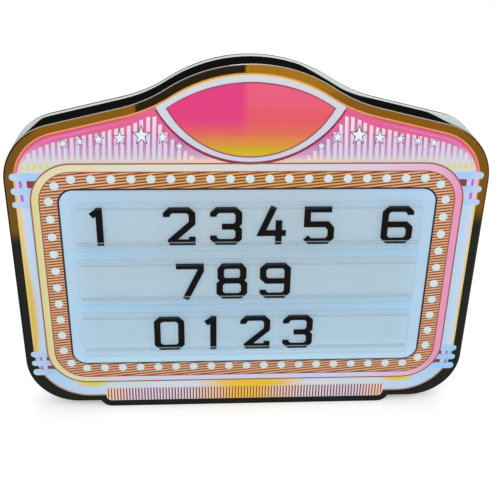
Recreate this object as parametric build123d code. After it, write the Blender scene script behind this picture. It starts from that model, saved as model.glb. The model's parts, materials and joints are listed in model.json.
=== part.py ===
from build123d import *
import os
from math import cos, radians, sin, sqrt

# Light-up letter board: a shaped box sign with a ring of marquee bulbs round a window of letter rails
# Millimetres, +Z up, the front faces -Y, the origin is the middle of the flat underside of the foot

# Face outline, drawn on the front
panel_width = 450.0
panel_top = 366.8
body_bottom = 7.5
dome_radius = 137.5
dome_slope = 33.0
valley_radius = 130.0
shoulder_slope = 13.5
upper_corner_radius = 56.0
lower_corner_radius = 51.0
foot_side_margin = 71.5
foot_corner_radius = 12.8

# Layers from the front to the back
face_thickness = 3.0
wall_depth = 25.0
wall_thickness = 2.5
board_thickness = 7.0
cover_thickness = 3.0
edge_chamfer = 0.5
cut_overrun = 1.0

# Ring of marquee bulbs
bulb_diameter = 8.0
bulb_sides = 8
bulb_clearance = 0.05
bulb_side_margin = 39.0
bulb_door_gap = 7.6
bulb_crown_margin = 106.8
bulb_corner_reach = 22.0
bulbs_per_row = 19
bulbs_per_column = 10
corner_bulb_angle = 45.0

# Window and its opal diffuser
window_side_margin = 9.0
window_top_margin = 10.5
window_bottom_margin = 6.0
window_corner_radius = 14.0
window_clearance = 0.15
diffuser_thickness = 2.0
diffuser_margin = 8.0
diffuser_corner_radius = 30.0

# Clear plate and letter rails
rail_end_inset = 14.0
plate_side_margin = 2.0
plate_thickness = 1.5
plate_lap = 1.2
plate_top_gap = 1.5
row_count = 3
row_gap = 9.0
row_drop = 0.6
row_end_margin = 11.25
rail_height = 6.5
rail_back = 1.0
rail_lip = 1.1
groove_width = 1.1
groove_depth = 3.0

# Letter cards
card_thickness = 0.8
card_play = 0.6
card_seat_clearance = 0.1
card_corner_clip = 1.5
rail_end_play = 0.6
first_row_gap = 2.2
first_row_blank = 33.7
second_row_gap = 0.6
third_row_gap = 1.4
second_row_shift = -16.0
third_row_shift = -13.7
first_row_card_count = 4
end_card_count = 2
second_row_card_count = 3
third_row_card_count = 4

# Light strips on the inside of the back board
row_strip_width = 8.0
bulb_strip_width = 6.0
strip_thickness = 1.2
strip_overhang = 7.0
chip_size = 4.0
chip_height = 1.4
chips_per_row = 10

# Screw blocks and screws that hold the back
block_size = 14.0
block_length = 20.0
side_block_inset = 34.0
dome_block_reach = 70.0
low_block_angle = 45.0
screw_diameter = 3.0
screw_clearance = 0.2
screw_length = 18.0
screw_head_diameter = 5.6
screw_head_height = 1.8
screw_head_sides = 8
screw_shank_sides = 6

# Battery box with six cells behind a swing-out door
cell_diameter = 14.3
cell_length = 49.0
cell_button_diameter = 5.4
cell_button_height = 1.3
cell_sides = 12
cells_per_line = 3
cell_line_count = 2
cell_gap = 0.6
cell_floor_gap = 0.2
contact_room = 5.0
contact_width = 9.0
contact_height = 10.0
contact_flat = 3.0
contact_thickness = 0.5
contact_clearance = 0.1
tray_wall = 1.6
tray_flange_width = 4.0
tray_flange_thickness = 2.0
tray_clearance = 0.2
door_bottom = 6.0
door_lap = 3.0
door_clearance = 0.3
door_inset = 0.1
hinge_pin_diameter = 1.6
hinge_pin_clearance = 0.05
hinge_pin_length = 3.0
catch_width = 14.0
catch_depth = 2.5
catch_thickness = 1.2
catch_clearance = 0.6
catch_place_share = 0.25
scallop_radius = 7.0

# Rocker switch
switch_door_gap = 27.0
bezel_end_lip = 1.5
bezel_side_lip = 1.0
bezel_thickness = 2.0
switch_wall = 1.2
switch_body_depth = 16.0
switch_fit = 0.2
rocker_length = 16.4
rocker_width = 10.0
rocker_crest = 4.6
rocker_valley = 3.4
rocker_skirt = 1.0
rocker_taper = 0.8
rocker_tilt = 10.0
rocker_side_gap = 0.3
rocker_end_gap = 1.1
rocker_well_depth = 9.0
pivot_depth = 2.5
pivot_pin_diameter = 2.4
pivot_pin_clearance = 0.05
pivot_pin_length = 1.1
terminal_width = 4.8
terminal_thickness = 0.8
terminal_length = 6.0
terminal_spacing = 10.0

# Charging jack
jack_switch_gap = 11.5
jack_flange_diameter = 14.0
jack_flange_thickness = 1.6
jack_barrel_diameter = 11.0
jack_barrel_length = 12.0
jack_hole_clearance = 0.1
jack_bore_diameter = 5.7
jack_bore_depth = 9.0
jack_pin_diameter = 2.0
jack_pin_length = 7.0
jack_nut_flats = 14.0
jack_nut_thickness = 2.5
jack_nut_sides = 6
jack_barrel_sides = 12
jack_board_clearance = 0.9

# Keyhole slots for hanging
keyhole_reach = 110.0
keyhole_drop = 84.8
keyhole_head_diameter = 8.5
keyhole_slot_width = 4.2
keyhole_slot_length = 10.0
keyhole_pocket_depth = 5.0
keyhole_pocket_margin = 3.0
keyhole_pocket_corner = 3.5

# Driver board and wiring
driver_width = 60.0
driver_height = 34.0
driver_thickness = 1.6
driver_drop = 48.8
coil_diameter = 12.0
coil_height = 6.0
coil_reach = 16.0
coil_sides = 12
driver_chip_size = 10.0
driver_chip_height = 1.8
terminal_block_width = 16.0
terminal_block_height = 8.0
terminal_block_depth = 9.0
ribbon_width = 3.6
ribbon_thickness = 1.4
lead_spacing = 8.0
riser_side_gap = 11.0
riser_low_gap = 3.0
riser_high_gap = 20.0
riser_driver_gap = 32.0

# Planes of the layers
total_depth = face_thickness + wall_depth + board_thickness + cover_thickness
front_y = -total_depth / 2
face_back_y = front_y + face_thickness
board_front_y = face_back_y + wall_depth
board_back_y = board_front_y + board_thickness
cover_back_y = board_back_y + cover_thickness

# Battery box sizes that follow from the cells
cell_pitch = cell_diameter + cell_gap
tray_length = cells_per_line * (cell_length + cell_button_height) + 2 * contact_room
tray_height = cell_line_count * cell_pitch + cell_gap
door_length = tray_length + 2 * door_lap
door_height = tray_height + 2 * door_lap
tray_centre = door_bottom + door_height / 2
tray_depth = cell_diameter + 2 * cell_floor_gap
tray_floor_y = board_back_y - tray_depth
hinge_y = (board_back_y + cover_back_y) / 2
door_thickness = cover_thickness - 2 * door_inset
hinge_z = door_bottom + door_clearance + door_thickness / 2

# Switch and jack, side by side beyond the door
switch_body_height = rocker_length + 2 * (rocker_end_gap + switch_wall)
switch_body_width = rocker_width + 2 * (rocker_side_gap + switch_wall)
bezel_height = switch_body_height + 2 * bezel_end_lip
bezel_width = switch_body_width + 2 * bezel_side_lip
switch_reach = door_length / 2 + switch_door_gap + bezel_width / 2
pivot_y = cover_back_y + bezel_thickness - pivot_depth
jack_reach = switch_reach + bezel_width / 2 + jack_switch_gap + jack_flange_diameter / 2
jack_board_diameter = jack_nut_flats / cos(radians(180 / jack_nut_sides)) + 2 * jack_board_clearance

# Ring, window and rail sizes that follow from the face and the battery box
foot_width = panel_width - 2 * foot_side_margin
ring_half_width = panel_width / 2 - bulb_side_margin
ring_bottom = door_bottom + door_height + bulb_door_gap
ring_top = panel_top - bulb_crown_margin
ring_half_height = (ring_top - ring_bottom) / 2
ring_centre = (ring_top + ring_bottom) / 2
window_half_width = ring_half_width - window_side_margin
window_top = ring_top - window_top_margin
window_bottom = ring_bottom + window_bottom_margin
window_centre = (window_top + window_bottom) / 2
rail_half_length = window_half_width - rail_end_inset
row_room = (window_top - window_bottom - 2 * row_end_margin - (row_count - 1) * row_gap) / row_count
card_window_height = row_room - 2 * rail_height
row_pitch = row_room + row_gap
first_row_room = 2 * (rail_half_length - rail_end_play - first_row_blank)
card_width = (first_row_room - (first_row_card_count - 1) * first_row_gap) / (
    first_row_card_count + end_card_count)
plate_front_y = front_y - plate_thickness
rail_depth = rail_back + groove_width + rail_lip
groove_centre_y = plate_front_y - rail_back - groove_width / 2
keyhole_height = panel_top - keyhole_drop
driver_centre = panel_top - driver_drop

# Turning points of the face outline
half_width = panel_width / 2
steep = radians(dome_slope)
gentle = radians(shoulder_slope)
dome_centre = Vector(0, panel_top - dome_radius)
dome_end = dome_centre + Vector(sin(steep), cos(steep)) * dome_radius
valley_centre = dome_end + Vector(sin(steep), cos(steep)) * valley_radius
valley_end = valley_centre - Vector(sin(gentle), cos(gentle)) * valley_radius
shoulder_end_x = half_width - upper_corner_radius * (1 - sin(gentle))
shoulder_fall = (shoulder_end_x - valley_end.X) * sin(gentle) / cos(gentle)
shoulder_end = Vector(shoulder_end_x, valley_end.Y - shoulder_fall)
upper_corner = shoulder_end - Vector(sin(gentle), cos(gentle)) * upper_corner_radius
lower_corner = Vector(half_width - lower_corner_radius, body_bottom + lower_corner_radius)

made = {}


def slab(sketch, near_y, far_y):
    """A flat sheet with the outline of the sketch, from near_y back to far_y."""
    return extrude(Plane.XZ.offset(-far_y) * sketch, amount=far_y - near_y)


def peg(x, z, diameter, near_y, far_y):
    """A round bar along Y."""
    return slab(Pos(x, z) * Circle(diameter / 2), near_y, far_y)


def prism(x, z, diameter, sides, near_y, far_y):
    """A many-sided bar along Y, for what repeats."""
    return slab(Pos(x, z) * RegularPolygon(diameter / 2, sides), near_y, far_y)


def cross_bar(x, y, z, diameter, length):
    """A round bar along X, centred on x."""
    return Pos(x, y, z) * Rot(0, 90, 0) * Cylinder(diameter / 2, length)


def cross_prism(x, y, z, diameter, sides, length):
    """A many-sided bar along X, centred on x."""
    return Pos(x, y, z) * extrude(Plane.YZ * RegularPolygon(diameter / 2, sides), length / 2, both=True)


def right_and_left(reach):
    """The same reach on both sides of the middle."""
    return (reach, -reach)


def outline():
    """The whole face: dome, valleys, shoulders, straight sides and the foot."""
    right = Curve() + [
        CenterArc(dome_centre, dome_radius, 90, -dome_slope),
        CenterArc(valley_centre, valley_radius, 270 - dome_slope, dome_slope - shoulder_slope),
        Line(valley_end, shoulder_end),
        CenterArc(upper_corner, upper_corner_radius, 90 - shoulder_slope, shoulder_slope - 90),
        Line((half_width, upper_corner.Y), (half_width, lower_corner.Y)),
        CenterArc(lower_corner, lower_corner_radius, 0, -90),
        Line((lower_corner.X, body_bottom), (0, body_bottom)),
    ]
    body = make_face((right + mirror(right, Plane.YZ)).edges())
    foot_height = body_bottom + 2 * foot_corner_radius
    foot = Pos(0, foot_height / 2) * RectangleRounded(foot_width, foot_height, foot_corner_radius)
    return body + foot


def dome_height(x):
    """Height of the dome's edge above the floor at a distance from the middle."""
    return panel_top - dome_radius + sqrt(dome_radius ** 2 - x ** 2)


def bulb_places():
    """Centres of the bulbs: two rows, two columns and one in each corner."""
    row_step = 2 * (ring_half_width - bulb_corner_reach) / (bulbs_per_row - 1)
    column_step = 2 * (ring_half_height - bulb_corner_reach) / (bulbs_per_column - 1)
    turn = radians(corner_bulb_angle)
    places = []
    for up in (1, -1):
        for i in range(bulbs_per_row):
            places.append(((i - (bulbs_per_row - 1) / 2) * row_step, ring_centre + up * ring_half_height))
        for side in (1, -1):
            x = ring_half_width - bulb_corner_reach * (1 - cos(turn))
            z = ring_half_height - bulb_corner_reach * (1 - sin(turn))
            places.append((side * x, ring_centre + up * z))
    for side in (1, -1):
        for i in range(bulbs_per_column):
            z = ring_centre + (i - (bulbs_per_column - 1) / 2) * column_step
            places.append((side * ring_half_width, z))
    return places


def window_shape(shrink):
    """The window's rounded outline, made smaller all round by shrink."""
    width = 2 * (window_half_width - shrink)
    height = window_top - window_bottom - 2 * shrink
    return Pos(0, window_centre) * RectangleRounded(width, height, window_corner_radius - shrink)


def row_centres():
    """Heights of the middle of the letter rows, from the top row down."""
    middle = window_centre - row_drop
    return [middle + ((row_count - 1) / 2 - i) * row_pitch for i in range(row_count)]


def card_rows():
    """Centres of the cards along each row; the top row also has one at each end of its rails."""
    end = rail_half_length - rail_end_play - card_width / 2
    rows = []
    for count, gap, shift in (
        (first_row_card_count, first_row_gap, 0),
        (second_row_card_count, second_row_gap, second_row_shift),
        (third_row_card_count, third_row_gap, third_row_shift),
    ):
        step = card_width + gap
        rows.append([shift + (i - (count - 1) / 2) * step for i in range(count)])
    rows[0] = [-end] + rows[0] + [end]
    return rows


def block_places():
    """Centres of the screw blocks round the wall."""
    seat = wall_thickness + block_size / 2
    side_x = half_width - seat
    dome_z = dome_height(dome_block_reach) - seat
    turn = radians(low_block_angle)
    low_x = lower_corner.X + (lower_corner_radius - seat) * cos(turn)
    low_z = lower_corner.Y - (lower_corner_radius - seat) * sin(turn)
    places = []
    for side in (1, -1):
        places += [(side * side_x, lower_corner.Y + side_block_inset)]
        places += [(side * side_x, upper_corner.Y - side_block_inset)]
        places += [(side * dome_block_reach, dome_z), (side * low_x, low_z)]
    return places


def front_panel(face):
    """Mirror acrylic face with the window and a hole for each bulb."""
    holes = [Pos(x, z) * RegularPolygon(bulb_diameter / 2, bulb_sides) for x, z in bulb_places()]
    panel = slab(face - window_shape(0) - holes, front_y, face_back_y)
    rim = panel.faces().sort_by(Axis.Y)[0].outer_wire().edges()
    return chamfer(rim, edge_chamfer)


def bulb_lenses():
    """Flush opal plugs, one in each hole of the ring."""
    size = bulb_diameter - 2 * bulb_clearance
    return Compound([prism(x, z, size, bulb_sides, front_y, face_back_y).solid() for x, z in bulb_places()])


def window_diffuser():
    """Opal sheet behind the face, with a raised field that fills the window."""
    width = 2 * (ring_half_width + diffuser_margin)
    height = 2 * (ring_half_height + diffuser_margin)
    sheet = Pos(0, ring_centre) * RectangleRounded(width, height, diffuser_corner_radius)
    field = slab(window_shape(window_clearance), front_y, face_back_y)
    return slab(sheet, face_back_y, face_back_y + diffuser_thickness) + field


def rail_plate():
    """Clear sheet that carries the rails and laps over the window's lower edge."""
    top = window_top - plate_top_gap
    bottom = window_bottom - plate_lap
    width = 2 * (rail_half_length + plate_side_margin)
    return slab(Pos(0, (top + bottom) / 2) * Rectangle(width, top - bottom), plate_front_y, front_y)


def letter_rail(row_z, up):
    """Clear grooved strip: up is 1 for the rail above the cards and -1 for the one below."""
    lip_edge = row_z + up * card_window_height / 2
    bar = Pos(0, lip_edge + up * rail_height / 2) * Rectangle(2 * rail_half_length, rail_height)
    cut_height = groove_depth + cut_overrun
    cut_z = lip_edge + up * (groove_depth - cut_height / 2)
    cut = Pos(0, cut_z) * Rectangle(2 * (rail_half_length + cut_overrun), cut_height)
    groove_near = groove_centre_y - groove_width / 2
    rail = slab(bar, plate_front_y - rail_depth, plate_front_y)
    return rail - slab(cut, groove_near, groove_near + groove_width)


def letter_card(x, row_z):
    """Clear card that hangs in the upper groove and stands in the lower one."""
    height = card_window_height + 2 * groove_depth - card_play
    bottom = row_z - card_window_height / 2 - groove_depth + card_seat_clearance
    blank = Rectangle(card_width, height)
    card = Pos(x, bottom + height / 2) * chamfer(blank.vertices(), card_corner_clip)
    near = groove_centre_y - card_thickness / 2
    return slab(card, near, near + card_thickness)


def side_wall(face):
    """Black strip wall that follows the outline of the face."""
    return slab(face - offset(face, -wall_thickness), face_back_y, board_front_y)


def keyhole(x):
    """Round head hole with a narrow slot above it."""
    slot_end = keyhole_height + keyhole_slot_length
    slot = Pos(x, keyhole_height + keyhole_slot_length / 2) * Rectangle(keyhole_slot_width, keyhole_slot_length)
    head = Pos(x, keyhole_height) * Circle(keyhole_head_diameter / 2)
    return head + slot + Pos(x, slot_end) * Circle(keyhole_slot_width / 2)


def keyhole_pocket(x):
    """Room behind a keyhole for the head of the wall screw, in the back board."""
    width = keyhole_head_diameter + 2 * keyhole_pocket_margin
    blank = Rectangle(width, keyhole_slot_length + width)
    middle = Pos(x, keyhole_height + keyhole_slot_length / 2)
    return middle * chamfer(blank.vertices(), keyhole_pocket_corner)


def screw_holes():
    """Clearance holes for the screws of the back."""
    size = screw_diameter + 2 * screw_clearance
    return [Pos(x, z) * RegularPolygon(size / 2, screw_shank_sides) for x, z in block_places()]


def back_board(face):
    """White foam board inside the cover, with room for the battery box, switch and jack."""
    tray_hole = Pos(0, tray_centre) * Rectangle(
        tray_length + 2 * (tray_wall + tray_clearance), tray_height + 2 * (tray_wall + tray_clearance))
    switch_hole = Pos(switch_reach, tray_centre) * Rectangle(
        switch_body_width + 2 * switch_fit, switch_body_height + 2 * switch_fit)
    jack_hole = Pos(jack_reach, tray_centre) * RegularPolygon(jack_board_diameter / 2, jack_barrel_sides)
    board = slab(face - tray_hole - switch_hole - jack_hole - screw_holes(), board_front_y, board_back_y)
    flange_room = tray_wall + tray_flange_width + tray_clearance
    flange = Pos(0, tray_centre) * Rectangle(tray_length + 2 * flange_room, tray_height + 2 * flange_room)
    board -= slab(flange, board_back_y - tray_flange_thickness, board_back_y + cut_overrun)
    for x in right_and_left(keyhole_reach):
        board -= slab(keyhole_pocket(x), board_back_y - keyhole_pocket_depth, board_back_y + cut_overrun)
    return board


def back_cover(face):
    """Black back sheet with the door opening, hinge bores, keyholes and fixing holes."""
    door_hole = Pos(0, tray_centre) * Rectangle(door_length, door_height)
    switch_hole = Pos(switch_reach, tray_centre) * Rectangle(
        switch_body_width + 2 * switch_fit, switch_body_height + 2 * switch_fit)
    jack_hole = Pos(jack_reach, tray_centre) * Circle(jack_barrel_diameter / 2 + jack_hole_clearance)
    keyholes = [keyhole(x) for x in right_and_left(keyhole_reach)]
    sheet = face - door_hole - switch_hole - jack_hole - keyholes - screw_holes()
    cover = slab(sheet, board_back_y, cover_back_y)
    rim = cover.faces().sort_by(Axis.Y)[-1].outer_wire().edges()
    cover = chamfer(rim, edge_chamfer)
    bore_length = door_length + 2 * (hinge_pin_length + hinge_pin_clearance)
    bore = cross_bar(0, hinge_y, hinge_z, hinge_pin_diameter + 2 * hinge_pin_clearance, bore_length)
    return cover - bore


def screw_blocks(face):
    """Acrylic blocks bonded into the wall, tapped for the screws of the back."""
    room = offset(face, -wall_thickness)
    far = board_front_y
    blocks = []
    for x, z in block_places():
        shape = Pos(x, z) * Rectangle(block_size, block_size)
        block = slab(shape & room, far - block_length, far)
        pilot = prism(x, z, screw_diameter, screw_shank_sides, cover_back_y - screw_length, far + cut_overrun)
        blocks.append((block - pilot).solid())
    return Compound(blocks)


def cover_screws():
    """Pan-head screws through the cover and the board into the blocks."""
    top = cover_back_y + screw_head_height
    tip = cover_back_y - screw_length
    screws = []
    for x, z in block_places():
        screw = prism(x, z, screw_head_diameter, screw_head_sides, cover_back_y, top)
        screw += prism(x, z, screw_diameter, screw_shank_sides, tip, cover_back_y)
        screws.append(screw.solid())
    return Compound(screws)


def strip(x, z, width, height):
    """Light strip: a bare board bonded to the back board."""
    return slab(Pos(x, z) * Rectangle(width, height), board_front_y - strip_thickness, board_front_y).solid()


def light_chip(x, z):
    """One light chip on the front of its strip."""
    far = board_front_y - strip_thickness
    return slab(Pos(x, z) * Rectangle(chip_size, chip_size), far - chip_height, far).solid()


def row_strips():
    """One light strip behind each letter row."""
    return Compound([strip(0, z, 2 * rail_half_length, row_strip_width) for z in row_centres()])


def row_chips():
    """Chips spread evenly along the row strips."""
    step = 2 * rail_half_length / chips_per_row
    chips = []
    for z in row_centres():
        chips += [light_chip((i - (chips_per_row - 1) / 2) * step, z) for i in range(chips_per_row)]
    return Compound(chips)


def bulb_strip_half_width():
    """Half the length of the strips behind the bulb rows."""
    return ring_half_width - bulb_corner_reach + strip_overhang


def bulb_strip_half_height():
    """Half the length of the strips behind the bulb columns."""
    return ring_half_height - bulb_corner_reach + strip_overhang


def bulb_strips():
    """Four light strips behind the ring of bulbs."""
    strips = []
    for side in (1, -1):
        row_z = ring_centre + side * ring_half_height
        strips.append(strip(0, row_z, 2 * bulb_strip_half_width(), bulb_strip_width))
        column_x = side * ring_half_width
        strips.append(strip(column_x, ring_centre, bulb_strip_width, 2 * bulb_strip_half_height()))
    return Compound(strips)


def bulb_chips():
    """One chip behind each bulb of the rows and columns; a corner bulb shares its neighbours' light."""
    reach_x = bulb_strip_half_width()
    chips = []
    for x, z in bulb_places():
        in_row = abs(x) < reach_x
        in_column = abs(z - ring_centre) < bulb_strip_half_height()
        if in_row or in_column:
            chips.append(light_chip(x, z))
    return Compound(chips)


def driver_board():
    """Small driver board with a coil, a chip and a terminal block."""
    far = board_front_y
    near = far - driver_thickness
    plate = slab(Pos(0, driver_centre) * Rectangle(driver_width, driver_height), near, far)
    coil = prism(-coil_reach, driver_centre, coil_diameter, coil_sides, near - coil_height, near)
    chip = Pos(0, driver_centre) * Rectangle(driver_chip_size, driver_chip_size)
    block = Pos(coil_reach, driver_centre) * Rectangle(terminal_block_width, terminal_block_height)
    board = plate + coil + slab(chip, near - driver_chip_height, near)
    return board + slab(block, near - terminal_block_depth, near)


def battery_tray():
    """Open box for the cells, with a flange trapped between the back board and the cover."""
    outer = Rectangle(tray_length + 2 * tray_wall, tray_height + 2 * tray_wall)
    rim = tray_wall + tray_flange_width
    flange = Rectangle(tray_length + 2 * rim, tray_height + 2 * rim)
    place = Pos(0, tray_centre)
    tray = slab(place * outer, tray_floor_y - tray_wall, board_back_y)
    tray += slab(place * flange, board_back_y - tray_flange_thickness, board_back_y)
    room = place * Rectangle(tray_length, tray_height)
    return tray - slab(room, tray_floor_y, board_back_y + cut_overrun)


def cell_line_heights():
    """Heights of the two lines of cells."""
    return [tray_centre + (i - (cell_line_count - 1) / 2) * cell_pitch for i in range(cell_line_count)]


def battery_cells():
    """Round cells in two lines, turned head to tail from line to line."""
    y = tray_floor_y + cell_floor_gap + cell_diameter / 2
    step = cell_length + cell_button_height
    cells = []
    for line, z in enumerate(cell_line_heights()):
        way = 1 if line % 2 == 0 else -1
        for i in range(cells_per_line):
            middle = (i - (cells_per_line - 1) / 2) * step
            can_x = middle - way * cell_button_height / 2
            can = cross_prism(can_x, y, z, cell_diameter, cell_sides, cell_length)
            button_x = middle + way * cell_length / 2
            button = cross_prism(button_x, y, z, cell_button_diameter, cell_sides // 2, cell_button_height)
            cells.append((can + button).solid())
    return Compound(cells)


def contact_leaves():
    """Bent metal leaves that press on both ends of each line of cells."""
    y = tray_floor_y + cell_floor_gap + cell_diameter / 2
    half = contact_height / 2
    flat = contact_flat / 2
    reach = contact_room - contact_clearance
    inner_reach = reach - contact_thickness
    inner_half = half - contact_thickness
    bend = Polyline(
        (0, -half), (reach, -flat), (reach, flat), (0, half),
        (0, inner_half), (inner_reach, 0), (0, -inner_half), close=True)
    leaf = extrude(make_face(bend.edges()), amount=contact_width / 2, both=True)
    leaves = []
    for z in cell_line_heights():
        leaves.append((Pos(-tray_length / 2, y, z) * leaf).solid())
        leaves.append((Pos(tray_length / 2, y, z) * Rot(0, 0, 180) * leaf).solid())
    return Compound(leaves)


def battery_door():
    """Door that swings out on two stub pins, with a barrel edge, a catch and a finger scallop."""
    near = hinge_y - door_thickness / 2
    far = hinge_y + door_thickness / 2
    top = door_bottom + door_height - door_clearance
    length = door_length - 2 * door_clearance
    sheet = Pos(0, (hinge_z + top) / 2) * Rectangle(length, top - hinge_z)
    door = slab(sheet - Pos(0, top) * Circle(scallop_radius), near, far)
    door += cross_bar(0, hinge_y, hinge_z, door_thickness, length)
    pin_length = door_length + 2 * hinge_pin_length
    door += cross_bar(0, hinge_y, hinge_z, hinge_pin_diameter, pin_length)
    catch_top = tray_centre + tray_height / 2 - catch_clearance
    for x in right_and_left(catch_place_share * tray_length):
        catch = Pos(x, catch_top - catch_thickness / 2) * Rectangle(catch_width, catch_thickness)
        door += slab(catch, near - catch_depth, near)
    return door


def switch_body():
    """Snap-in switch case with its bezel and a well for the rocker."""
    place = Pos(switch_reach, tray_centre)
    bezel_y = cover_back_y + bezel_thickness
    body = slab(place * Rectangle(switch_body_width, switch_body_height),
                cover_back_y - switch_body_depth, cover_back_y)
    body += slab(place * RectangleRounded(bezel_width, bezel_height, bezel_thickness), cover_back_y, bezel_y)
    well = Rectangle(rocker_width + 2 * rocker_side_gap, rocker_length + 2 * rocker_end_gap)
    body -= slab(place * well, bezel_y - rocker_well_depth, bezel_y + cut_overrun)
    pin = pivot_pin_diameter + 2 * pivot_pin_clearance
    bore_length = rocker_width + 2 * (pivot_pin_length + pivot_pin_clearance)
    return body - cross_bar(switch_reach, pivot_y, tray_centre, pin, bore_length)


def switch_rocker():
    """Dished rocker on its pivot pins, resting tilted to the off side."""
    half = rocker_length / 2
    profile = Polyline(
        (-rocker_skirt, -half + rocker_taper), (rocker_crest, -half), (rocker_valley, 0),
        (rocker_crest, half), (-rocker_skirt, half - rocker_taper), close=True)
    paddle = extrude(Plane.YZ * make_face(profile.edges()), amount=rocker_width / 2, both=True)
    rocker = paddle + cross_bar(0, 0, 0, pivot_pin_diameter, rocker_width + 2 * pivot_pin_length)
    return Pos(switch_reach, pivot_y, tray_centre) * Rot(-rocker_tilt, 0, 0) * rocker


def switch_terminals():
    """Two blades at the back of the switch case."""
    far = cover_back_y - switch_body_depth
    blades = []
    for z in right_and_left(terminal_spacing / 2):
        blade = Pos(switch_reach, tray_centre + z) * Rectangle(terminal_width, terminal_thickness)
        blades.append(slab(blade, far - terminal_length, far).solid())
    return Compound(blades)


def charge_jack():
    """Panel jack with its flange outside and a centre pin in the bore."""
    x, z = jack_reach, tray_centre
    rim_y = cover_back_y + jack_flange_thickness
    jack = peg(x, z, jack_flange_diameter, cover_back_y, rim_y)
    jack += prism(x, z, jack_barrel_diameter, jack_barrel_sides, cover_back_y - jack_barrel_length, cover_back_y)
    floor_y = rim_y - jack_bore_depth
    jack -= peg(x, z, jack_bore_diameter, floor_y, rim_y + cut_overrun)
    return jack + peg(x, z, jack_pin_diameter, floor_y, floor_y + jack_pin_length)


def jack_nut():
    """Hexagon nut that holds the jack from inside the cover."""
    flat_radius = jack_nut_flats / 2
    hexagon = RegularPolygon(flat_radius, jack_nut_sides, major_radius=False)
    nut = hexagon - RegularPolygon(jack_barrel_diameter / 2, jack_barrel_sides)
    return slab(Pos(jack_reach, tray_centre) * nut, board_back_y - jack_nut_thickness, board_back_y)


def ribbon(*corners):
    """Flat twin lead lying on the inside of the back board, folded square at its bends."""
    path = trace(Polyline(*corners), ribbon_width)
    return slab(path, board_front_y - ribbon_thickness, board_front_y).solid()


def battery_leads():
    """Pair of leads from the battery box to the switch."""
    box_end = tray_length / 2 + tray_wall
    case_side = switch_reach - switch_body_width / 2
    heights = [tray_centre + z for z in right_and_left(lead_spacing / 2)]
    return Compound([ribbon((box_end, z), (case_side, z)) for z in heights])


def switch_lead():
    """Lead from the switch up the side of the case to the driver board."""
    case_top = tray_centre + switch_body_height / 2
    low = ring_bottom - bulb_strip_width / 2 - riser_low_gap
    high = ring_top + riser_high_gap
    riser_x = ring_half_width + riser_side_gap
    driver_side = driver_width / 2
    turn_x = driver_side + riser_driver_gap
    return ribbon(
        (switch_reach, case_top), (switch_reach, low), (riser_x, low), (riser_x, high),
        (turn_x, high), (turn_x, driver_centre), (driver_side, driver_centre))


def strip_leads():
    """Short leads that join the driver board and the light strips."""
    half_row = row_strip_width / 2
    half_bulb = bulb_strip_width / 2
    stops = [(driver_centre - driver_height / 2, ring_centre + ring_half_height + half_bulb)]
    lower = ring_centre + ring_half_height - half_bulb
    for z in row_centres():
        stops.append((lower, z + half_row))
        lower = z - half_row
    stops.append((lower, ring_centre - ring_half_height + half_bulb))
    leads = [ribbon((0, high), (0, low)) for high, low in stops]
    for side in (1, -1):
        for up in (1, -1):
            row_z = ring_centre + up * ring_half_height
            column_x = side * ring_half_width
            leads.append(ribbon(
                (side * bulb_strip_half_width(), row_z), (column_x, row_z),
                (column_x, ring_centre + up * bulb_strip_half_height())))
    return Compound(leads)


def build():
    """Make every piece and keep it under its own name."""
    face = outline()
    made["front_panel"] = front_panel(face)
    made["bulb_lenses"] = bulb_lenses()
    made["window_diffuser"] = window_diffuser()
    made["rail_plate"] = rail_plate()
    for row, (z, places) in enumerate(zip(row_centres(), card_rows()), start=1):
        made[f"rail_{row}_upper"] = letter_rail(z, 1)
        made[f"rail_{row}_lower"] = letter_rail(z, -1)
        for i, x in enumerate(places, start=1):
            made[f"card_{row}_{i}"] = letter_card(x, z)
    made["side_wall"] = side_wall(face)
    made["back_board"] = back_board(face)
    made["back_cover"] = back_cover(face)
    made["screw_blocks"] = screw_blocks(face)
    made["cover_screws"] = cover_screws()
    made["row_strips"] = row_strips()
    made["row_chips"] = row_chips()
    made["bulb_strips"] = bulb_strips()
    made["bulb_chips"] = bulb_chips()
    made["driver_board"] = driver_board()
    made["battery_tray"] = battery_tray()
    made["battery_cells"] = battery_cells()
    made["contact_leaves"] = contact_leaves()
    made["battery_door"] = battery_door()
    made["switch_body"] = switch_body()
    made["switch_rocker"] = switch_rocker()
    made["switch_terminals"] = switch_terminals()
    made["charge_jack"] = charge_jack()
    made["jack_nut"] = jack_nut()
    made["battery_leads"] = battery_leads()
    made["switch_lead"] = switch_lead()
    made["strip_leads"] = strip_leads()


build()
os.makedirs("parts", exist_ok=True)
for name, shape in made.items():
    export_step(shape, f"parts/{name}.step")
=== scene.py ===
# %% [markdown]
# # A light-up letter board
# The real thing is a shallow box sign: a gold mirror face with a print on it, a ring of round bulbs,
# a window with clear rails, and letter cards that slide in the rails. The solids come from the packed
# model and stay where they are. This lesson gives them their finishes and adds the print, the bulbs,
# the rails' raised lips, the numbers on the cards, and the screw heads and switch marks of the back.

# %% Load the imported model
import json
import math

import bpy
from mathutils import Matrix, Vector


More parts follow.
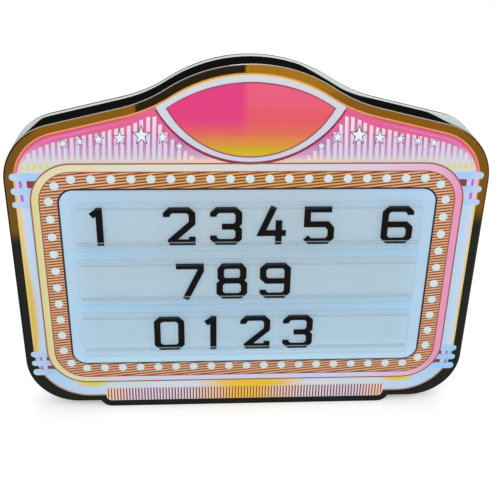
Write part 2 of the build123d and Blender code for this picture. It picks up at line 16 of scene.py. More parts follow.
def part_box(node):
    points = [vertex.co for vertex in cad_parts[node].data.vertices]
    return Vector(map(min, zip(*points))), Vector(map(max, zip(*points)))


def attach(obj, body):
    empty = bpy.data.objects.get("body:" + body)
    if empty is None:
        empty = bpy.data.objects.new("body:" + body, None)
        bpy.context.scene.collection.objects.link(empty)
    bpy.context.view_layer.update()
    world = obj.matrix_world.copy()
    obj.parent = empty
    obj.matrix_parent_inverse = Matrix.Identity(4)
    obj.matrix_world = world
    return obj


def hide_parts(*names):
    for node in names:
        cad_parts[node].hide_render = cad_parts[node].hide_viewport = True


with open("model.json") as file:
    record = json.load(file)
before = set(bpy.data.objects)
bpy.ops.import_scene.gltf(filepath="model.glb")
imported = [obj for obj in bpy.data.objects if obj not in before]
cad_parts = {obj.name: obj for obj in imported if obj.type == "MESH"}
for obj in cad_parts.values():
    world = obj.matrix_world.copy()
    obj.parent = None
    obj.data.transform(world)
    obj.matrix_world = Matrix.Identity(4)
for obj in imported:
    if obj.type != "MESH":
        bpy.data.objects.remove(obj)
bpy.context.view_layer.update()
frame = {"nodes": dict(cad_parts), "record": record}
nodes = frame["nodes"]
scene = bpy.context.scene
print("pieces from the CAD model:", len(nodes))

# %% [markdown]
# ## Measures that the print shares
# The print was laid out in steps of one bulb to the next, with the middle of the bulb ring as its
# centre, so its places are given in those steps and turned into millimetres in one function.

# %% Measures of the face
mm = 0.001
bulb_step = 18.28 * mm
ring_middle = 155 * mm
face_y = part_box("front_panel")[0].y
layer = 0.08 * mm


def steps_to_mm(points):
    """Places in bulb steps from the middle of the ring, as millimetres on the face."""
    return [(across * bulb_step / mm, (ring_middle + up * bulb_step) / mm) for across, up in points]


print("front of the face, mm:", round(face_y / mm, 2), "one bulb step, mm:", round(bulb_step / mm, 2))

# %% [markdown]
# ## The camera
# The photograph was taken from above and a little to the left, so the board looks narrower at its foot.
# The camera's place was worked out from the bulbs: their even steps fix the lens, the distance and the
# tilt. The edges of the print then moved the picture by part of a pixel. A camera looks along its own
# -Z, so its axes go into a matrix as right, up and back.

# %% Camera
tilt, turn, roll = 0.48700394, -0.06441582, 0.02099828
ring_from_camera = Vector((-0.13347685, 1.48072912, 45.32975085)) * bulb_step
image_side, focal_pixels, nudge_right, nudge_up = 500, 843.88, 0.6, 0.2
sensor_side = 36
seen = Matrix.Rotation(roll, 3, "Z") @ Matrix.Rotation(tilt, 3, "X") @ Matrix.Rotation(turn, 3, "Y")


def to_frame(v):
    """From right, down and forward of the fitted view to the frame's X, Y and Z."""
    return Vector((v[0], v[2], -v[1]))


eye = to_frame(-(seen.transposed() @ ring_from_camera)) + Vector((0, face_y, ring_middle))
right, down, forward = (to_frame(row) for row in seen)
camera_data = bpy.data.cameras.new("camera")
camera_data.sensor_width = sensor_side
camera_data.lens = focal_pixels / image_side * sensor_side
camera_data.shift_x, camera_data.shift_y = -nudge_right / image_side, -nudge_up / image_side
camera = bpy.data.objects.new("camera", camera_data)
scene.collection.objects.link(camera)
facing = Matrix((right, -down, -forward)).transposed()
camera.matrix_world = Matrix.Translation(eye) @ facing.to_4x4()
scene.camera = camera
print("camera at", [round(c, 3) for c in eye], "lens", round(camera_data.lens, 2))

# %% [markdown]
# ## Finishes from a few small tools
# A finish is a net of shader nodes. Wiring them by hand hides the idea, so one small class wraps a
# socket and turns Python sums into Math nodes, and another makes any other node with its settings and
# its inputs. Colours are written as they look on a screen, from 0 to 255, and made linear here.

# %% Colours and sums


def paint(red, green, blue):
    """A screen colour as the linear colour that a shader wants."""
    parts = []
    for part in (red, green, blue):
        part /= 255
        parts.append(part / 12.92 if part <= 0.04045 else ((part + 0.055) / 1.055) ** 2.4)
    return (*parts, 1.0)


class Wire:
    """A socket's value that can be used in sums."""

    def __init__(self, net, socket):
        self.net = net
        self.socket = socket

    def sum(self, operation, first, second):
        return self.net.node("ShaderNodeMath", {"operation": operation}, {0: first, 1: second})

    def __add__(self, other):
        return self.sum("ADD", self, other)

    def __radd__(self, other):
        return self.sum("ADD", other, self)

    def __sub__(self, other):
        return self.sum("SUBTRACT", self, other)

    def __rsub__(self, other):
        return self.sum("SUBTRACT", other, self)

    def __mul__(self, other):
        return self.sum("MULTIPLY", self, other)

    def __rmul__(self, other):
        return self.sum("MULTIPLY", other, self)

    def __truediv__(self, other):
        return self.sum("DIVIDE", self, other)

    def __abs__(self):
        return self.sum("ABSOLUTE", self, 0.0)


print("mid grey made linear:", round(paint(128, 128, 128)[0], 3))

# %% Nets and finishes


class Net:
    """The nodes of a material or of the world, made by the name of their type."""

    def __init__(self, tree):
        self.tree = tree

    def node(self, kind, settings, inputs, output=0):
        made = self.tree.nodes.new(kind)
        for key, value in settings.items():
            setattr(made, key, value)
        self.feed(made, inputs)
        return Wire(self, made.outputs[output])

    def feed(self, made, inputs):
        for key, value in inputs.items():
            if isinstance(value, Wire):
                self.tree.links.new(value.socket, made.inputs[key])
            else:
                made.inputs[key].default_value = value


class Finish(Net):
    """A material, with the steps that its patterns are made of."""

    def __init__(self, name):
        self.material = bpy.data.materials.new(name)
        self.material.use_nodes = True
        super().__init__(self.material.node_tree)
        self.shader = self.tree.nodes["Principled BSDF"]

    def split(self, vector):
        """The X, Y and Z of a vector."""
        sockets = self.node("ShaderNodeSeparateXYZ", {}, {0: vector}).socket.node.outputs
        return [Wire(self, socket) for socket in sockets]

    def place(self):
        """The point's own X, Y and Z in the frame, in millimetres."""
        here = self.node("ShaderNodeTexCoord", {}, {}, output="Object")
        return [part / mm for part in self.split(here)]

    def facing(self):
        """1 where the surface faces the front or the back and 0 where it faces up or aside."""
        normal = self.node("ShaderNodeNewGeometry", {}, {}, output="Normal")
        return abs(self.split(normal)[1])

    def noise(self, size, detail=2.0, stretch=(1, 1, 1)):
        """Soft random patches from 0 to 1, of about that size in millimetres."""
        here = self.node("ShaderNodeTexCoord", {}, {}, output="Object")
        scaled = self.node("ShaderNodeVectorMath", {"operation": "MULTIPLY"}, {0: here, 1: stretch})
        inputs = {"Vector": scaled, "Scale": 1 / (size * mm), "Detail": detail}
        return self.node("ShaderNodeTexNoise", {}, inputs)

    def between(self, value, low, high):
        """A smooth step from 0 at low to 1 at high."""
        settings = {"interpolation_type": "SMOOTHSTEP"}
        return self.node("ShaderNodeMapRange", settings, {0: value, 1: low, 2: high, 3: 0.0, 4: 1.0})

    def to_and_fro(self, value, span):
        """A value folded so that it runs from 0 up to the span and back again."""
        return self.node("ShaderNodeMath", {"operation": "PINGPONG"}, {0: value, 1: span})

    def mix(self, amount, first, second):
        """The first colour where amount is 0 and the second where it is 1; a tuple is a screen colour."""
        first, second = (paint(*tone) if isinstance(tone, tuple) else tone for tone in (first, second))
        settings = {"data_type": "RGBA", "clamp_factor": True}
        return self.node("ShaderNodeMix", settings, {0: amount, 6: first, 7: second}, output=2)

    def blend(self, value, stops):
        """Colours that follow each other along a value: (value, colour) pairs from low to high."""
        colour = stops[0][1]
        for (low, _), (high, following) in zip(stops, stops[1:]):
            colour = self.mix(self.between(value, low, high), colour, following)
        return colour

    def bump(self, height, depth):
        """A surface normal from small heights, with depth in millimetres."""
        inputs = {"Height": height, "Distance": depth * mm, "Strength": 1.0}
        return self.node("ShaderNodeBump", {}, inputs)

    def surface(self, **inputs):
        """Feeds the shader; an underscore in a name stands for a space."""
        self.feed(self.shader, {key.replace("_", " "): value for key, value in inputs.items()})
        return self.material


print("shader tools ready")

# %% [markdown]
# ## Floor, world and lamps
# The photograph is cut out on white. The floor fills the whole picture because the camera looks down,
# so its finish adds a little light of its own for rays that come from the camera or from a mirror.
# That makes it white to look at without lighting the board, and it still takes the board's soft shadow.
# Clear pieces stand one behind another in the window, so light may pass through many sheets.

# %% Floor, world and lamps
scene.view_settings.view_transform = "Standard"
scene.cycles.transparent_max_bounces = 32


def pick_only(*things):
    """Selects these pieces alone and makes the first of them the active one."""
    bpy.ops.object.select_all(action="DESELECT")
    for thing in things:
        thing.select_set(True)
    if things:
        bpy.context.view_layer.objects.active = things[0]


def seen_rays(net, *kinds):
    """1 for rays of these kinds and 0 for the light that falls on things."""
    outputs = net.node("ShaderNodeLightPath", {}, {}).socket.node.outputs
    total, *others = (Wire(net, outputs[f"Is {kind} Ray"]) for kind in kinds)
    for other in others:
        total = total + other
    return total


floor_side, floor_lift = 6.0, 0.3
pick_only()
bpy.ops.mesh.primitive_plane_add(size=floor_side, location=(0, 0, 0))
floor = bpy.context.object
floor.name = "floor"
pale = Finish("floor_pale")
lift = seen_rays(pale, "Camera", "Glossy", "Transmission") * floor_lift
patches = pale.mix(pale.noise(400), (243, 243, 243), (247, 247, 247))
lifted = pale.mix(lift, (0, 0, 0), (255, 255, 255))
floor.data.materials.append(pale.surface(
    Base_Color=patches, Roughness=0.9, Specular_IOR_Level=0.0,
    Emission_Color=lifted, Emission_Strength=1.0))

soft_light, full_light = 0.62, 1.0
world = bpy.data.worlds.new("studio")
world.use_nodes = True
scene.world = world
studio = Net(world.node_tree)
white_seen = studio.node("ShaderNodeMapRange", {}, {
    "Value": seen_rays(studio, "Camera", "Glossy"), "To Min": soft_light, "To Max": full_light})
studio.feed(world.node_tree.nodes["Background"], {"Color": (1, 1, 1, 1), "Strength": white_seen})

board_middle = Vector((0, 0, 0.18))
for name, place, side, power in (
    ("lamp_front", (-0.7, -1.6, 1.5), 1.2, 14),
    ("lamp_right", (1.5, -0.8, 1.1), 1.0, 6),
    ("lamp_back", (0.4, 1.6, 1.4), 1.2, 9),
):
    soft_box = bpy.data.lights.new(name, "AREA")
    soft_box.size, soft_box.energy = side, power
    lamp = bpy.data.objects.new(name, soft_box)
    scene.collection.objects.link(lamp)
    lamp.location = place
    lamp.rotation_euler = (board_middle - Vector(place)).to_track_quat("-Z", "Y").to_euler()
print("floor, world and three lamps")

# %% [markdown]
# ## Finishes of the case
# The face is gold mirror acrylic. Its margin reflects the dark room low down and on the left of the dome
# and a warm light above, and these reflections are painted into the gold, which deepens to near black by
# height. A thin dark line, a painted reflection as well, runs along its sides and round its upper corners,
# and the cut edges are bare pale acrylic. The wall and the back sheet are gloss black, and the board
# between is white, with painted shadow in the joint at its rear edge. The wall's gloss shows a pale sheen
# where it turns down at the shoulders and right of the dome, and that sheen is painted.

# %% Gold mirror face
gold = Finish("gold_mirror")
x, y, z = gold.place()
# Painted reflections: the dark room low down and over the left half of the dome, a warm light above
reflected_light_above = gold.between(z - x * 0.04, 202, 220)
shoulder, dome_part = gold.between(z, 285, 312), gold.between(z, 332, 350)
dark_reflection_left_of_dome = gold.between(x, -104, -101) * (1 - gold.between(x, -7, -4)) * gold.between(z, 295, 320)
warm_reflection = gold.mix(gold.between(x, -200, 150), (106, 75, 30), (112, 79, 26))
warm_reflection = gold.mix(shoulder, warm_reflection, (126, 83, 22))
warm_reflection = gold.mix(dome_part, warm_reflection, (160, 110, 28))
warm_reflection = gold.mix(gold.noise(24) * 0.4, warm_reflection, (106, 74, 20))
tone = gold.mix(reflected_light_above, (34, 37, 33), warm_reflection)
tone = gold.mix(dark_reflection_left_of_dome, tone, (38, 30, 18))
# A thin painted dark reflection along the sides and round the upper corners, darker on the left
corner_x, corner_z, corner_radius, rim_wide, rim_soft = 169.0, 256.8, 56.0, 1.3, 0.4
across = abs(x) - corner_x
above = gold.node("ShaderNodeMath", {"operation": "MAXIMUM"}, {0: z - corner_z, 1: 0.0})
from_corner = across * across + above * above
rim_start = corner_radius - rim_wide
rim = gold.between(from_corner, (rim_start - rim_soft) ** 2, rim_start ** 2)
rim_reflection_tone = gold.mix(gold.between(x, -10, 10), (24, 20, 14), (72, 50, 22))
tone = gold.mix(rim * gold.between(across, 20, 30), tone, rim_reflection_tone)
flat = gold.between(gold.facing(), 0.9, 0.97)
cut_edge = gold.mix(gold.between(y, -18.0, -17.4), tone, (160, 153, 130))
tone = gold.mix(flat, cut_edge, tone)
smears = gold.noise(35, detail=4)
nodes["front_panel"].data.materials[0] = gold.surface(
    Base_Color=tone, Metallic=flat, Roughness=0.08 + smears * 0.08)
print("gold mirror on front_panel")

# %% Plastics and metals
case_finishes = {}
for name, dark, light, rough, grain, depth, sheen in (
    ("black_gloss", (14, 14, 14), (20, 20, 21), 0.2, 30, 0.01, 0.15),
    ("black_matte", (28, 28, 28), (38, 38, 38), 0.5, 0.8, 0.05, 0.3),
    ("rocker_black", (22, 22, 22), (32, 32, 32), 0.25, 0.8, 0.02, 0.3),
    ("strip_white", (225, 225, 220), (240, 240, 236), 0.45, 2, 0.02, 0.3),
    ("light_chip", (235, 205, 90), (245, 220, 120), 0.3, 2, 0.02, 0.3),
    ("green_board", (30, 85, 50), (42, 105, 62), 0.35, 3, 0.03, 0.3),
    ("wire_red", (150, 24, 24), (175, 36, 32), 0.4, 4, 0.02, 0.3),
    ("wire_white", (215, 215, 212), (232, 232, 230), 0.4, 4, 0.02, 0.3),
):
    plastic = Finish(name)
    patch, skin = plastic.noise(40, detail=3), plastic.noise(grain, detail=3)
    case_finishes[name] = plastic.surface(
        Base_Color=plastic.mix(patch, dark, light), Roughness=rough + patch * 0.08,
        Specular_IOR_Level=sheen, Normal=plastic.bump(skin, depth))
for name, dark, light in (
    ("zinc_steel", (176, 178, 178), (205, 206, 202)),
    ("brass_contact", (190, 150, 80), (214, 178, 104)),
):
    metal = Finish(name)
    brush = metal.noise(0.6, detail=4, stretch=(0.08, 1, 1))
    case_finishes[name] = metal.surface(
        Base_Color=metal.mix(metal.noise(9), dark, light), Metallic=1.0, Roughness=0.25 + brush * 0.18)
print("plastics and metals:", sorted(case_finishes))

# %% Cells, board and wall
cell = Finish("cell_wrap")
x, y, z = cell.place()
cell_step, wrap_reach, wrap_soft = 50.3, 15.0, 0.6
end_band = cell.between(cell.to_and_fro(x, cell_step / 2), wrap_reach, wrap_reach + wrap_soft)
wrap = cell.mix(cell.noise(25), (52, 58, 66), (62, 68, 78))
case_finishes["cell_wrap"] = cell.surface(
    Base_Color=cell.mix(end_band, wrap, (190, 140, 60)), Metallic=end_band,
    Roughness=0.28 + cell.noise(6) * 0.1)

foam = Finish("white_board")
x, y, z = foam.place()
# A thin dark band at the board's rear edge is painted shadow in the joint with the back sheet
shadow_gap_y, shadow_gap_soft = 15.0, 0.1
joint = foam.between(y, shadow_gap_y - shadow_gap_soft, shadow_gap_y + shadow_gap_soft)
pores = foam.noise(1.2, detail=3)
skin_tone = foam.mix(foam.noise(40, detail=3), (205, 208, 207), (222, 224, 222))
case_finishes["white_board"] = foam.surface(
    Base_Color=foam.mix(joint, skin_tone, (52, 52, 52)), Roughness=0.6 + pores * 0.08,
    Specular_IOR_Level=0.3, Normal=foam.bump(pores, 0.05))

for entry in frame["record"]["subparts"]:
    finish = case_finishes.get(entry["material_slot"])
    if finish:
        nodes[entry["node"]].data.materials[0] = finish

wall = Finish("wall_black")
x, y, z = wall.place()
# Painted reflection: a pale sheen along the wall's rear edge, reaching deeper where the wall turns down
wall_rear, wall_deep = 9.0, 25.0
right_end = wall.between(x, 152, 188)
painted_sheen_reach = (wall.between(x, 35, 68) - wall.between(x, 74, 124)) * 0.52 + right_end * right_end
painted_sheen_reach = painted_sheen_reach + wall.between(0 - x, 186, 204)
sheen = wall.between(y + painted_sheen_reach * wall_deep, wall_rear + 0.1, wall_rear + 4.0)
sheen = sheen * wall.between(z, 266, 298)
lacquer = wall.mix(wall.noise(40, detail=3), (15, 15, 15), (22, 22, 22))
nodes["side_wall"].data.materials[0] = wall.surface(
    Base_Color=wall.mix(sheen, lacquer, (204, 212, 206)), Roughness=0.3 + wall.noise(12) * 0.08,
    Specular_IOR_Level=0.0)
print("case finishes:", sorted(case_finishes))

# %% [markdown]
# ## Window, rails and cards
# The window is an opal sheet with lights behind it, so it carries light of its own. It isn't evenly
# lit: it is bluer between the rows, along its foot and at its sides, and greyer in the middle. The
# rails and the cards are clear, and clear plastic shows mostly at its cut edges, so those are denser
# than the faces, with darker tints that are painted shade. Every clear piece also carries a painted
# glow, which lifts the shade that the pieces cast on each other in the grooves.

# %% Opal window
opal = Finish("opal_white")
x, y, z = opal.place()
low_stops = [
    (57, (188, 226, 246)), (64, (186, 220, 240)), (74, (184, 214, 234)), (84, (174, 205, 223)),
    (112, (174, 204, 221))]
middle_tone = opal.blend(z, low_stops + [
    (122, (164, 198, 223)), (134, (176, 203, 218)), (172, (175, 199, 212)), (182, (170, 195, 210)),
    (194, (177, 200, 212)), (228, (180, 200, 211)), (242, (180, 202, 217))])
side_tone = opal.blend(z, low_stops + [
    (122, (160, 209, 240)), (134, (176, 203, 219)), (172, (175, 200, 215)), (182, (160, 205, 234)),
    (194, (177, 202, 217)), (228, (178, 205, 225)), (242, (176, 209, 236))])
shade = opal.mix(opal.between(abs(x), 30, 165), middle_tone, side_tone)
shade = opal.mix(opal.between(abs(x), 148, 172) * 0.6, shade, (182, 218, 248))
clouds = opal.noise(60, detail=1)
shade = opal.mix(clouds * 0.25, shade, (196, 216, 232))
lit_from_behind, window_light = 0.6, 0.54
nodes["window_diffuser"].data.materials[0] = opal.surface(
    Base_Color=opal.mix(lit_from_behind, shade, (0, 0, 0)), Roughness=0.32 + clouds * 0.06,
    Specular_IOR_Level=0.3, Emission_Color=shade, Emission_Strength=window_light)
print("opal window")

# %% Clear rails and cards
painted_glow_share = 0.5
row_step, row_low, lip_reach, lip_soft = 60.0, 92.15, 20.0, 0.3


def carrying(finish, colour, gloss, streaks, share):
    """See-through plastic whose colour is given partly as a painted glow."""
    return finish.surface(
        Base_Color=finish.mix(painted_glow_share, colour, (0, 0, 0)), Roughness=gloss + streaks * 0.06,
        Alpha=share, Specular_IOR_Level=0.3, Emission_Color=colour, Emission_Strength=painted_glow_share)


def clear(name, tint, face_share, edge_tint, edge_share, lip_tint, lip_share):
    """Clear plastic: nearly see-through faces and denser cut edges, most of all at the lips, whose darker
    tints are painted shade.
    """
    finish = Finish(name)
    z = finish.place()[2]
    edge = 1 - finish.between(finish.facing(), 0.4, 0.8)
    from_row = finish.to_and_fro(z - row_low, row_step / 2)
    lip = 1 - finish.between(from_row, lip_reach - lip_soft, lip_reach + lip_soft)
    streaks = finish.noise(20, detail=3, stretch=(0.15, 1, 1))
    denser = edge_share - face_share + lip * (lip_share - edge_share)
    colour = finish.mix(edge, tint, finish.mix(lip, edge_tint, lip_tint))
    return carrying(finish, colour, 0.08, streaks, face_share + edge * denser + streaks * 0.012)


# The darker edge and lip tints are painted shade
rail_clear = clear("clear_acrylic", (176, 202, 222), 0.012, (132, 158, 180), 0.16, (40, 84, 118), 0.28)
card_clear = clear("clear_card", (176, 196, 208), 0.02, (146, 166, 182), 0.15, (146, 166, 182), 0.22)
for name, thing in nodes.items():
    if name.startswith("rail_") or name == "screw_blocks":
        thing.data.materials[0] = rail_clear
    if name.startswith("card_"):
        thing.data.materials[0] = card_clear
print("clear rails and cards")

# %% [markdown]
# ## The print: how thin layers are drawn
# The face carries a print in many colours. It could be one big picture, but a picture blurs close up,
# so each shape of the print is a thin layer of ink with its own outline. A flat filled curve takes any
# outline with holes in it; it is made a mesh, stood upright and set on the face, one layer on another.

# %% Drawing tools
weld = 0.001


def arc(middle, radius, start, stop, steps):
    """Points along an arc, with angles in degrees."""
    points = []
    for i in range(steps + 1):
        angle = math.radians(start + (stop - start) * i / steps)
        points.append((middle[0] + radius * math.cos(angle), middle[1] + radius * math.sin(angle)))
    return points


def rounded(left, right, low, high, radius, steps=10):
    """A rounded rectangle as a loop of points."""
    loop = []
    for x, z, start in (
        (right - radius, high - radius, 0), (left + radius, high - radius, 90),
        (left + radius, low + radius, 180), (right - radius, low + radius, 270),
    ):
        loop += arc((x, z), radius, start, start + 90, steps)
    return loop


def mirrored(loop):
    """The same loop on the other side of the middle."""
    return [(-x, z) for x, z in reversed(loop)]


def both_sides(loops):
    """Loops on the right and their twins on the left."""
    return loops + [mirrored(loop) for loop in loops]


def ink(name, loops, level, finish, body="housing", front=face_y, thickness=layer):
    """A thin flat piece with these outlines, in millimetres, some layers above a front surface."""
    curve = bpy.data.curves.new(name, "CURVE")
    curve.dimensions = "2D"
    curve.fill_mode = "BOTH"
    curve.extrude = thickness / 2
    for loop in loops:
        spline = curve.splines.new("POLY")
        spline.points.add(len(loop) - 1)
        for point, (across, up) in zip(spline.points, loop):
            point.co = (across * mm, up * mm, 0, 1)
        spline.use_cyclic_u = True
    thing = bpy.data.objects.new(name, curve)
    scene.collection.objects.link(thing)
    pick_only(thing)
    bpy.ops.object.convert(target="MESH")
    thing = bpy.context.object
    thing.rotation_euler.x = math.pi / 2
    thing.location.y = front - level * layer - thickness / 2
    bpy.ops.object.transform_apply(location=True, rotation=True, scale=True)
    bpy.ops.object.mode_set(mode="EDIT")
    bpy.ops.mesh.select_all(action="SELECT")
    bpy.ops.mesh.remove_doubles(threshold=weld * mm)
    bpy.ops.mesh.normals_make_consistent(inside=False)
    bpy.ops.object.mode_set(mode="OBJECT")
    thing.data.materials.clear()
    thing.data.materials.append(finish)
    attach(thing, body)
    return thing


print("drawing tools ready")

# %% [markdown]
# ## The printed field
# The field follows the edge of the face seven millimetres in, nine at the sides, with rounder lower
# corners than the face has. Its colours run: pink at the top fading to white, pale blue with a sandy
# outer edge down the sides, and pale blue with yellow glows below. One finish reads the place on the
# face and blends them, because the real print has no hard borders there. Three narrow bands deepen the
# pink along the upper edge, and an orange line runs round the whole field.

# %% Outline of the face
crown, dome_radius, dome_slope = 366.8, 137.5, 33.0
valley_radius, shoulder_slope = 130.0, 13.5
half_width, upper_radius, lower_radius, body_low = 223.0, 56.0, 62.0, 7.5


def along(middle, distance, slope):
    """A point away from a middle, leaning from upright by a slope in degrees."""
    lean = math.radians(slope)
    return middle[0] + distance * math.sin(lean), middle[1] + distance * math.cos(lean)


dome_middle = (0, crown - dome_radius)
valley_middle = along(dome_middle, dome_radius + valley_radius, dome_slope)
valley_end = along(valley_middle, -valley_radius, shoulder_slope)
shoulder_x = half_width - upper_radius * (1 - math.sin(math.radians(shoulder_slope)))
shoulder_z = valley_end[1] - (shoulder_x - valley_end[0]) * math.tan(math.radians(shoulder_slope))
upper_middle = along((shoulder_x, shoulder_z), -upper_radius, shoulder_slope)
lower_middle = (half_width - lower_radius, body_low + lower_radius)


def face_loop(inset):
    """The outline that the print follows, without the foot, moved inwards."""
    side = arc(dome_middle, dome_radius - inset, 90, 90 - dome_slope, 16)
    side += arc(valley_middle, valley_radius + inset, 270 - dome_slope, 270 - shoulder_slope, 10)
    side += arc(upper_middle, upper_radius - inset, 90 - shoulder_slope, 0, 18)
    side += arc(lower_middle, lower_radius - inset, 0, -90, 18)
    return side + mirrored(side[1:])


margin = 7.0
window_edge = (177, 56, 249.5, 14)
print("face outline:", len(face_loop(margin)), "points")

# %% Inks


def printed(finish, colour, gloss=0.26):
    """Ink on acrylic: slight mottling in its sheen."""
    mottle = finish.noise(6, detail=3)
    return finish.surface(Base_Color=colour, Roughness=gloss + mottle * 0.08, Specular_IOR_Level=0.25)


def speckled(name, size, dark, light, gloss=0.26):
    """Ink of two close tones, in patches of about that size in millimetres."""
    finish = Finish(name)
    return printed(finish, finish.mix(finish.noise(size), dark, light), gloss)


def graded(name, direction, stops, gloss=0.26):
    """Ink whose colours follow each other up the face or away from its middle."""
    finish = Finish(name)
    x, y, z = finish.place()
    return printed(finish, finish.blend(z if direction == "up" else abs(x), stops), gloss)


print("inks ready")

# %% Field of the print


def glow(finish, x, z, middle, reach):
    """1 in the middle of a soft oval patch and 0 outside it."""
    across = (x - middle[0]) / reach[0]
    up = (z - middle[1]) / reach[1]
    return 1 - finish.between(across * across + up * up, 0.0, 1.0)


def window_frame(edge, grow=0.0, foot_grow=0.0, steps=14):
    """A rounded frame from its half width, foot, top and corner radius, grown outwards."""
    half, low, high, radius = edge
    return rounded(-half - grow, half + grow, low - foot_grow, high + grow, radius + grow, steps)


window = window_frame(window_edge, steps=10)
field = Finish("print_field")
x, y, z = field.place()
aside = abs(x)
fan_foot = field.mix(field.between(aside, 50, 115), (236, 206, 180), (220, 206, 204))
fan = field.blend(z, [
    (276, fan_foot), (285, (199, 154, 198)), (295, (202, 118, 175)),
    (308, (224, 101, 152)), (326, (226, 90, 140)), (342, (228, 88, 122))])
outer_fan = field.blend(z, [
    (276, (213, 213, 222)), (286, (198, 172, 216)), (298, (202, 146, 204))])
fan = field.mix(field.between(aside, 150, 205), fan, outer_fan)
edge_pink = field.between(z + aside * 0.24, 326, 340) * (1 - field.between(aside, 180, 212))
fan = field.mix(edge_pink * 0.8, fan, (224, 94, 142))
columns = field.blend(aside - field.between(x, -10, 10) * 2.5, [
    (203.5, (186, 212, 238)), (208.5, (190, 214, 238)), (211, (212, 212, 218)),
    (213, (230, 206, 140))])
swell = field.between(z, 58, 100) * (1 - field.between(z, 128, 190))
sandy_left = field.between(0 - x + swell * 4.5, 208.5, 217) * (1 - field.between(z, 140, 240))
columns = field.mix(sandy_left * 0.9, columns, (218, 182, 60))
columns = field.mix(field.between(z, 65, 69), (180, 198, 232), columns)
foot_colour = field.blend(aside, [
    (70, (216, 222, 236)), (130, (206, 221, 230)), (170, (190, 216, 242)), (195, (176, 212, 244))])
for middle, reach, yellow in (
    ((7, 28), (64, 16), (238, 194, 46)),
    ((-160, 30.5), (22, 5.5), (226, 206, 66)),
    ((160, 30.5), (22, 5.5), (226, 206, 66)),
):
    foot_colour = field.mix(glow(field, x, z, middle, reach), foot_colour, yellow)
colours = field.mix(field.between(z, 40, 62), foot_colour, columns)
colours = field.mix(field.between(z, 258, 270), colours, fan)
ink("print_field", [face_loop(margin), window], 0, printed(field, colours))
print("printed field")

# %% Edges of the field


def edge_band(near, far, low, inner):
    """A band beside the edge of the face, above a height and away from the middle."""
    outside, inside = (
        [(x, z) for x, z in face_loop(inset) if x > inner and z > low] for inset in (near, far))
    return outside + inside[::-1]


band_low, band_start, band_fade = 264.0, 96.0, 24.0
for name, near, far, inner_tone, outer_tone, low_tone in (
    ("print_shade", 1.5, 3.4, (204, 84, 102), (204, 80, 104), (222, 106, 120)),
    ("print_blush", 3.4, 4.9, (222, 92, 138), (224, 102, 164), (216, 202, 226)),
    ("print_blush_inner", 4.9, 6.4, (226, 98, 146), (226, 118, 178), (213, 211, 226)),
):
    pink = Finish(name)
    x, y, z = pink.place()
    pink_colour = pink.mix(pink.between(abs(x), 100, 165), inner_tone, outer_tone)
    pink_colour = pink.mix(pink.between(z, 268, 294), low_tone, pink_colour)
    band_begins = pink.between(abs(x), band_start, band_start + band_fade)
    pink_colour = pink.mix(band_begins, (225, 91, 138), pink_colour)
    bands = both_sides([edge_band(margin + near, margin + far, band_low, band_start)])
    ink(name, bands, 1, printed(pink, pink_colour))

edge_ink = graded("print_edge", "up", [
    (16, (190, 142, 122)), (60, (206, 170, 120)), (90, (226, 198, 118)), (230, (232, 200, 130)),
    (268, (240, 136, 92)), (300, (232, 144, 88)), (330, (222, 156, 78)), (348, (212, 158, 70))])
line_wide, crown_low = 1.5, 326.0
ink("print_edge", [face_loop(margin), face_loop(margin + line_wide)], 1, edge_ink)
crown_half = edge_band(margin, margin + line_wide, crown_low, -weld)
ink("print_edge_crown", both_sides([crown_half]), 5, edge_ink)
print("deeper pink along the upper edge, and an orange line that crosses the dome's border as well")

# %% [markdown]
# ## The ring round the window
# Three bands frame the window: a pale ring that runs from cream on the left to pink on the right, a
# band of fine slanting brown lines on orange that the bulbs sit in, and a thin dark line at the glass.
# The slanting lines are too fine to draw one by one, so the band's finish repeats them along the
# height. Thin brown lines close the outer edges of the ring and of the band.

# %% Ring bands
ring_edge, band_edge = (202.5, 32.5, 275.1, 39.1), (194.9, 39.1, 267.1, 31.4)
ring_outer, band_outer = window_frame(ring_edge), window_frame(band_edge)
pale_ring = Finish("print_ring")
x, y, z = pale_ring.place()
ring_colour = pale_ring.blend(x, [
    (-205, (218, 208, 146)), (-185, (224, 216, 172)), (-90, (222, 218, 204)),
    (0, (214, 214, 214)), (90, (216, 206, 220)), (170, (226, 182, 208)),
    (200, (230, 150, 186))])
low_middle = (1 - pale_ring.between(z, 36, 60)) * (1 - pale_ring.between(abs(x - 10), 90, 190))
ring_colour = pale_ring.mix(low_middle, ring_colour, (208, 210, 240))
ink("print_ring", [ring_outer, band_outer], 3, printed(pale_ring, ring_colour))

band = Finish("print_band")
x, y, z = band.place()
line_pitch, line_rise, line_start = 3.012, 0.111, -1.54
turns = (z - x * line_rise - line_start) / line_pitch
dark_line = band.between(band.to_and_fro(turns, 0.5), 0.2, 0.31)
orange = band.mix(band.noise(14), (222, 164, 122), (232, 186, 148))
golden = band.between(z, 225, 262) * (1 - band.between(abs(x), 60, 170))
orange = band.mix(golden, orange, (216, 164, 92))
brown = band.mix(golden, (126, 66, 40), (120, 58, 12))
band_colour = band.mix(dark_line, orange, brown)
ink("print_band", [band_outer, window], 3, printed(band, band_colour))

for name, edge, out, wide, foot_wide, dark, light in (
    ("print_ring_line", ring_edge, 0.0, 1.3, 1.3, (146, 84, 68), (160, 92, 72)),
    ("print_band_line", band_edge, 0.0, 1.0, 1.0, (170, 84, 46), (156, 76, 50)),
    ("print_window_line", window_edge, 0.4, 1.8, 1.0, (42, 24, 30), (52, 30, 36)),
):
    two_sides = [window_frame(edge, out + side * wide / 2, out + side * foot_wide / 2) for side in (1, -1)]
    ink(name, two_sides, 4, speckled(name, 20, dark, light))
print("ring, band and three lines")

# %% [markdown]
# ## Bars beside the ring
# At the head and the foot of each side the print shows three pale-blue bars with round ends and purple
# slots between them, like a turned column. They reach a little over the gold margin.

# %% Column bars
round_share = 0.96


